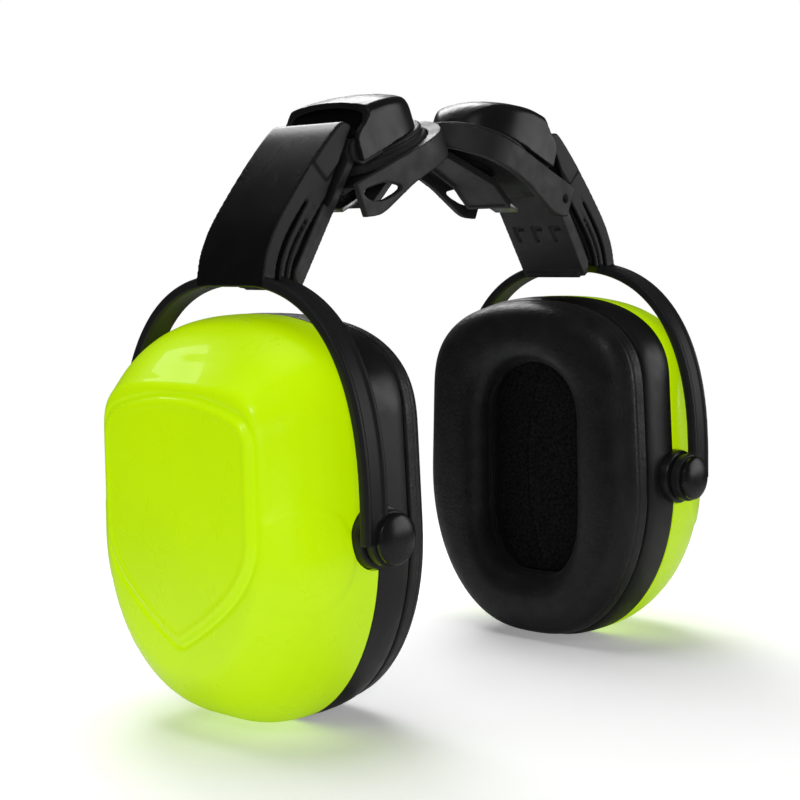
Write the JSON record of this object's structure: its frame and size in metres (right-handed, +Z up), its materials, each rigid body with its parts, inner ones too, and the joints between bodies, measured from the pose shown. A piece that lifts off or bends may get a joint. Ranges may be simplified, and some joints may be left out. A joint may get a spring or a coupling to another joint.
{
  "type": "helmet-mounted earmuff hearing protector",
  "caption": "Pair of helmet-slot ear defenders: bright green egg-shaped cups on black arched yokes, standing with their slot adapters leaning together.",
  "frame": {"origin": "midpoint on the ground under the pair, between the two cups", "axes": "+X from the left unit to the right unit, along the line through both cups; +Z up; the picture is taken from -X and -Y"},
  "size_m": [0.193, 0.1024, 0.1673],
  "materials": {
    "green_shell": "fluorescent yellow-green moulded ABS, polished",
    "black_rim": "smooth black moulded plastic, satin",
    "cushion_skin": "soft black leatherette with a fine grain, double stitched-look seam",
    "ear_lining": "thin black open-cell foam lining",
    "ear_foam": "dark grey open-cell acoustic foam",
    "black_trim": "black acetal pins, smooth",
    "arm_black": "black glass-filled nylon, satin with a fine grain",
    "adapter_black": "black moulded plastic, satin",
    "steel": "plain steel wire, pin and clip"
  },
  "bodies": {
    "adapters": {"right_adapter_frame": "adapter_black", "right_slot_blade": "adapter_black", "right_blade_clip": "steel", "left_adapter_frame": "adapter_black", "left_slot_blade": "adapter_black", "left_blade_clip": "steel"},
    "right_turret_body": {"right_turret": "arm_black", "right_hood": "arm_black", "right_hinge_pin": "steel", "right_torsion_spring": "steel", "right_turret_rivet": "black_trim"},
    "right_stem_body": {"right_stem": "arm_black"},
    "right_arm_body": {"right_yoke_arm": "arm_black"},
    "right_cup_body": {"right_cup_shell": "green_shell", "right_base_ring": "black_rim", "right_cushion": "cushion_skin", "right_cushion_plate": "black_rim", "right_foam_cover": "ear_lining", "right_foam_block": "ear_foam", "right_pivot_pin_a": "black_trim", "right_pivot_pin_b": "black_trim"},
    "left_turret_body": {"left_turret": "arm_black", "left_hood": "arm_black", "left_hinge_pin": "steel", "left_torsion_spring": "steel", "left_turret_rivet": "black_trim"},
    "left_stem_body": {"left_stem": "arm_black"},
    "left_arm_body": {"left_yoke_arm": "arm_black"},
    "left_cup_body": {"left_cup_shell": "green_shell", "left_base_ring": "black_rim", "left_cushion": "cushion_skin", "left_cushion_plate": "black_rim", "left_foam_cover": "ear_lining", "left_foam_block": "ear_foam", "left_pivot_pin_a": "black_trim", "left_pivot_pin_b": "black_trim"}
  },
  "joints": [
    {"name": "right_swivel", "type": "hinge", "parent": "adapters", "child": "right_turret_body", "pos_m": [0.022, 0, 0.1499], "axis": [0.3987, 0, 0.9171], "range_deg": [-10, 10]},
    {"name": "right_spring_hinge", "type": "hinge", "parent": "right_turret_body", "child": "right_stem_body", "pos_m": [0.04012, 0, 0.15087], "axis": [0, -1, 0], "range_deg": [0, 18], "stiffness_Nm_per_rad": 2, "springref_deg": -17.19},
    {"name": "right_height_slide", "type": "slide", "parent": "right_stem_body", "child": "right_arm_body", "axis": [0.53, 0, -0.848], "range_m": [0, 0.016]},
    {"name": "right_cup_tilt", "type": "hinge", "parent": "right_arm_body", "child": "right_cup_body", "pos_m": [0.0664, 0, 0.053], "axis": [0, -1, 0], "range_deg": [-10, 10]},
    {"name": "left_swivel", "type": "hinge", "parent": "adapters", "child": "left_turret_body", "pos_m": [-0.022, 0, 0.1499], "axis": [-0.3987, 0, 0.9171], "range_deg": [-10, 10]},
    {"name": "left_spring_hinge", "type": "hinge", "parent": "left_turret_body", "child": "left_stem_body", "pos_m": [-0.04012, 0, 0.15087], "axis": [0, 1, 0], "range_deg": [0, 18], "stiffness_Nm_per_rad": 2, "springref_deg": -17.19},
    {"name": "left_height_slide", "type": "slide", "parent": "left_stem_body", "child": "left_arm_body", "axis": [-0.53, 0, -0.848], "range_m": [0, 0.016]},
    {"name": "left_cup_tilt", "type": "hinge", "parent": "left_arm_body", "child": "left_cup_body", "pos_m": [-0.0664, 0, 0.053], "axis": [0, 1, 0], "range_deg": [-10, 10]}
  ]
}
